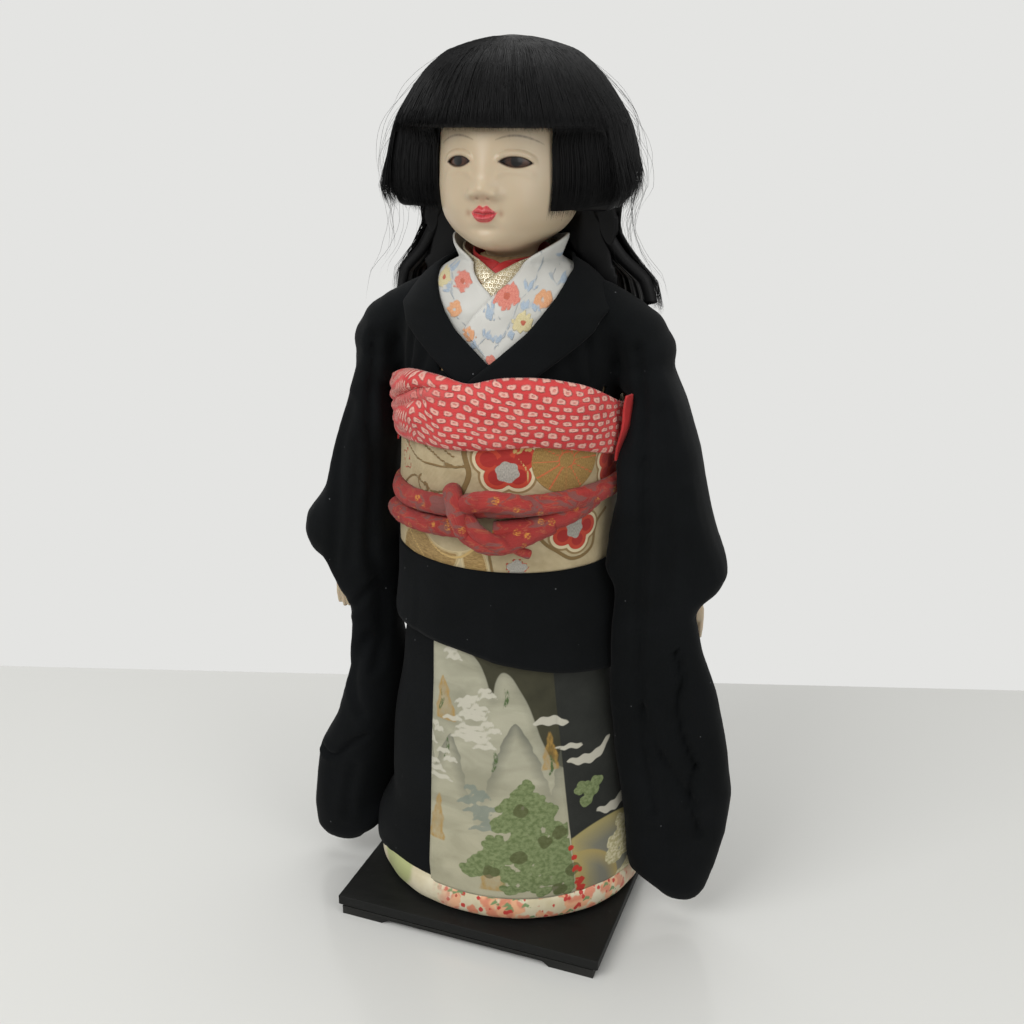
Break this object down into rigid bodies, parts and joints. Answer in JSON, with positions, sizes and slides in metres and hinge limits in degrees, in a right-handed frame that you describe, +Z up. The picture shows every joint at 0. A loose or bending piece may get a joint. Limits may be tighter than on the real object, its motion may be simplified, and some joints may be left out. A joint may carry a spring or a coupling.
{
  "type": "ichimatsu doll",
  "caption": "Standing play doll with black bobbed hair, a long-sleeved black kimono with a painted skirt, brocade sash and cord, on a low black lacquer stand.",
  "frame": {"origin": "below the middle of the whole doll's width and depth, on the plane the stand's rails rest on", "axes": "+Z up along the doll's height, the doll faces -Y, and its left hand is on +X; the stand is turned 6 degrees under it"},
  "size_m": [0.242, 0.1648, 0.455],
  "materials": {
    "stand_board": "black lacquer, satin",
    "stand_rail_front": "black lacquer, satin",
    "stand_rail_back": "black lacquer, satin",
    "foot_pin_left": "plain steel",
    "foot_pin_right": "plain steel",
    "torso": "raw, matte",
    "under_robe": "soft cotton",
    "leg_left": "shell-white paint, matte",
    "leg_right": "shell-white paint, matte",
    "head": "polished shell-white paint",
    "eye_left": "glossy inset eye",
    "eye_right": "glossy inset eye",
    "wig": "straight silky hair",
    "collar_red": "plain silk",
    "collar_gold": "brocade with metallic thread",
    "collar_white": "embroidered satin",
    "kimono_collar": "crepe, matte",
    "kimono_bodice": "crepe, matte",
    "kimono_skirt": "crepe, matte",
    "kimono_front_panel": "painted silk",
    "hem_lining": "printed silk",
    "kimono_fold": "crepe, matte",
    "kimono_sleeve_left": "crepe, matte",
    "kimono_sleeve_right": "crepe, matte",
    "sleeve_lining_left": "plain silk",
    "sleeve_lining_right": "plain silk",
    "arm_left": "shell-white paint, matte",
    "arm_right": "shell-white paint, matte",
    "hand_left": "polished shell-white paint",
    "hand_right": "polished shell-white paint",
    "obi": "ribbed brocade",
    "obiage": "dotted tie-dyed silk",
    "obijime": "padded brocade cord",
    "obi_knot": "ribbed brocade"
  },
  "bodies": {
    "root": {"stand_board": "stand_board", "stand_rail_front": "stand_rail_front", "stand_rail_back": "stand_rail_back", "foot_pin_left": "foot_pin_left", "foot_pin_right": "foot_pin_right", "torso": "torso", "under_robe": "under_robe", "leg_left": "leg_left", "leg_right": "leg_right", "head": "head", "eye_left": "eye_left", "eye_right": "eye_right", "wig": "wig", "collar_red": "collar_red", "collar_gold": "collar_gold", "collar_white": "collar_white", "kimono_collar": "kimono_collar", "kimono_bodice": "kimono_bodice", "kimono_skirt": "kimono_skirt", "kimono_front_panel": "kimono_front_panel", "hem_lining": "hem_lining", "kimono_fold": "kimono_fold", "kimono_sleeve_left": "kimono_sleeve_left", "kimono_sleeve_right": "kimono_sleeve_right", "sleeve_lining_left": "sleeve_lining_left", "sleeve_lining_right": "sleeve_lining_right", "arm_left": "arm_left", "arm_right": "arm_right", "hand_left": "hand_left", "hand_right": "hand_right", "obi": "obi", "obiage": "obiage", "obijime": "obijime", "obi_knot": "obi_knot"}
  },
  "joints": []
}
